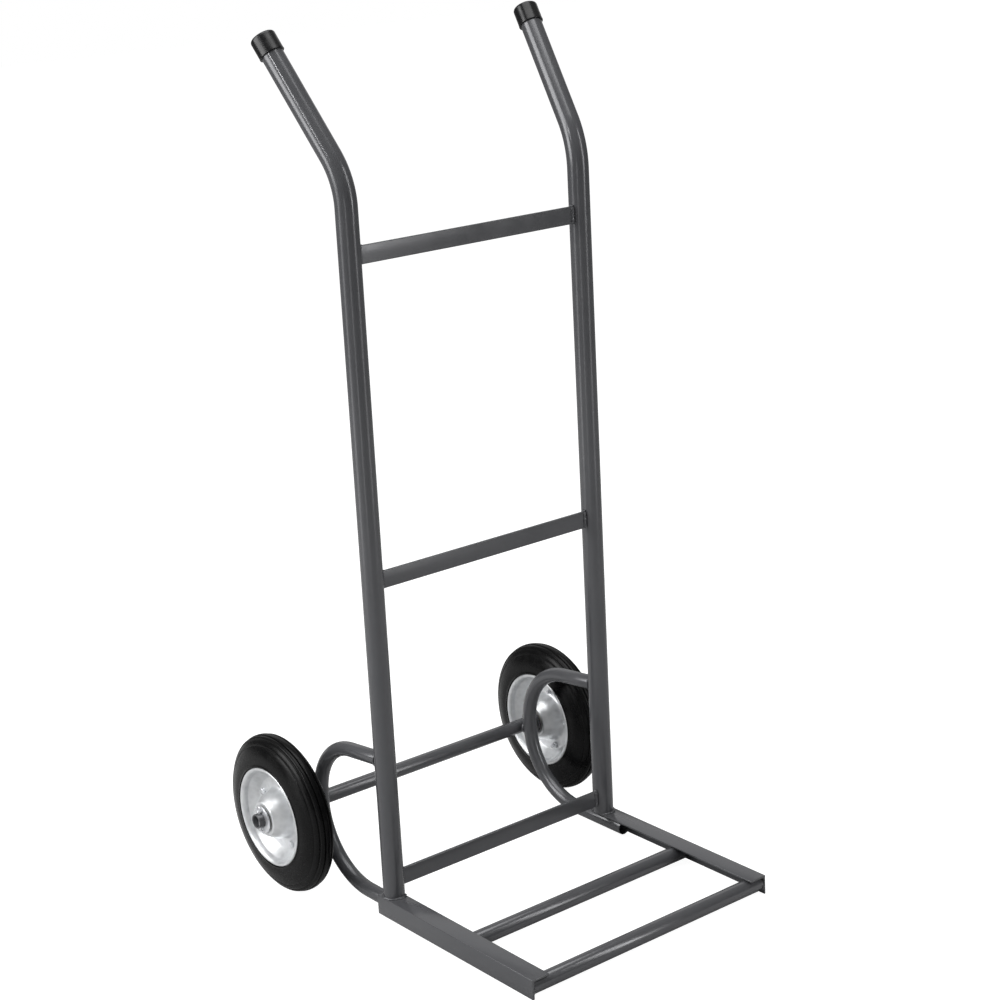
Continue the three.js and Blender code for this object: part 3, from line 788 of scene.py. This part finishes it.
for level, bar_z in BAR_Z.items():
    for side, sign, radius, inset in (("left", -1, THIN_BEAD_R, 0.2 * mm),
                                      ("right", 1, HEAVY_BEAD_R, 2.0 * mm)):
        seam_x = sign * (FRAME_X - UPRIGHT_R - inset)
        front_y = BAR_Y - BAR_THICKNESS / 2 + 0.4 * mm
        bottom = Vector((seam_x, front_y, bar_z - BAR_HEIGHT / 2 + mm))
        weld(f"{side}_{level}_front_weld", radius, bottom, (0, 0, 1), (1, 0, 0),
             short_runs(BAR_HEIGHT - 2 * mm, 14), 1.8 if sign > 0 else 1.0)
        rear = Vector((seam_x, BAR_Y + BAR_THICKNESS / 2 - 0.4 * mm, bar_z - BAR_HEIGHT / 2 + 2 * mm))
        weld(f"{side}_{level}_rear_weld", 2 * mm, rear, (0, 0, 1), (1, 0, 0),
             short_runs(BAR_HEIGHT - 4 * mm, 14), 1.4)
        across = Vector((sign * (FRAME_X - UPRIGHT_R - 1.2 * mm), BAR_Y - 2.6 * mm, bar_z + BAR_HEIGHT / 2))
        weld(f"{side}_{level}_top_weld", 1.9 * mm, across, (0, 1, 0), (0, 0, 1),
             short_runs(5.2 * mm, 5), 1.4)

# ---- Studio -------------------------------------------------------------------------------------
# A plain pale floor and backdrop under one broad overhead light. A small strip makes the left
# handle's bright line, low boxes face the uprights, and the back box lights the flanges' tops.
FLOOR_SIZE = 30
AIM = Vector((0, 0, 0.6))
CAMERA_AT = Vector((-1888.41, -2431.258, 1515.68)) * mm
CAMERA_TURN = radians(-38.279)
CAMERA_TILT = radians(90 - 16.748)
CAMERA_ROLL = radians(-2.979)
CAMERA_HEADING = -127.8

floor = begin(bpy.ops.mesh.primitive_plane_add, "floor", size=FLOOR_SIZE, location=(0, 0, -0.2 * mm))
bpy.ops.object.mode_set(mode="OBJECT")
floor_paint = bpy.data.materials.new("floor_paint")
floor_paint.use_nodes = True
tree = floor_paint.node_tree
light_path = add_node(tree, "ShaderNodeLightPath", {})
dull = add_node(tree, "ShaderNodeBsdfDiffuse", {"Color": (0.5, 0.5, 0.5, 1)})
lit = add_node(tree, "ShaderNodeBsdfDiffuse", {"Color": (0.3, 0.3, 0.3, 1)})
glow = add_node(tree, "ShaderNodeEmission", {"Color": (1, 1, 1, 1), "Strength": 0.95})
seen = add_node(tree, "ShaderNodeAddShader", {0: lit.outputs[0], 1: glow.outputs[0]})
either = add_node(tree, "ShaderNodeMixShader", {0: light_path.outputs["Is Camera Ray"],
                                                1: dull.outputs[0], 2: seen.outputs[0]})
tree.links.new(either.outputs[0], tree.nodes["Material Output"].inputs["Surface"])
paint(floor, floor_paint)

world = bpy.data.worlds.new("studio")
world.use_nodes = True
bpy.context.scene.world = world
tree = world.node_tree
background = tree.nodes["Background"]
direction = add_node(tree, "ShaderNodeTexCoord", {}).outputs["Generated"]
height = add_node(tree, "ShaderNodeSeparateXYZ", {"Vector": direction}).outputs["Z"]
sky = ramp(tree, height, [(0.0, 0.10), (0.3, 0.16), (0.85, 0.42)])
camera_ray = add_node(tree, "ShaderNodeLightPath", {}).outputs["Is Camera Ray"]
shown = add_node(tree, "ShaderNodeMix", {"Factor": camera_ray, "A": sky, "B": (1, 1, 1, 1)},
                 data_type="RGBA")
tree.links.new(shown.outputs["Result"], background.inputs["Color"])


def softbox(name, across, above, distance, width, height, watts):
    """An area light that faces the truck: degrees right of the camera and above the floor."""
    heading = radians(CAMERA_HEADING + across)
    rise = radians(above)
    out = Vector((cos(heading) * cos(rise), sin(heading) * cos(rise), sin(rise)))
    light = bpy.data.lights.new(name, "AREA")
    light.shape = "RECTANGLE"
    light.size = width
    light.size_y = height
    light.energy = watts
    lamp = bpy.data.objects.new(name, light)
    lamp.location = AIM + out * distance
    lamp.rotation_euler = (-out).to_track_quat("-Z", "Y").to_euler()
    lamp.visible_camera = False
    bpy.context.scene.collection.objects.link(lamp)


softbox("overhead_light", 0, 88, 3.0, 2.5, 2.5, 80)
softbox("handle_strip", -43, 32, 3.07, 0.14, 0.5, 7)
softbox("left_low_box", -74, -6, 2.0, 0.5, 1.4, 4)
softbox("front_low_box", -12, -6, 2.0, 0.25, 1.4, 2)
softbox("right_low_box", 65, -6, 2.0, 0.4, 1.4, 3)
softbox("left_box", -75, 25, 3.2, 1.8, 2.4, 95)
softbox("right_box", 66, 20, 3.2, 0.4, 2.4, 25)
softbox("back_box", 180, 20, 4.2, 5.0, 2.6, 20)

camera_data = bpy.data.cameras.new("camera")
camera_data.lens = 79.55
camera_data.sensor_width = 36
camera = bpy.data.objects.new("camera", camera_data)
camera.matrix_world = (STANCE @ Matrix.Translation(CAMERA_AT) @ Matrix.Rotation(CAMERA_TURN, 4, "Z")
                       @ Matrix.Rotation(CAMERA_TILT, 4, "X") @ Matrix.Rotation(CAMERA_ROLL, 4, "Z"))
bpy.context.scene.collection.objects.link(camera)
bpy.context.scene.camera = camera
bpy.context.scene.view_settings.view_transform = "Standard"
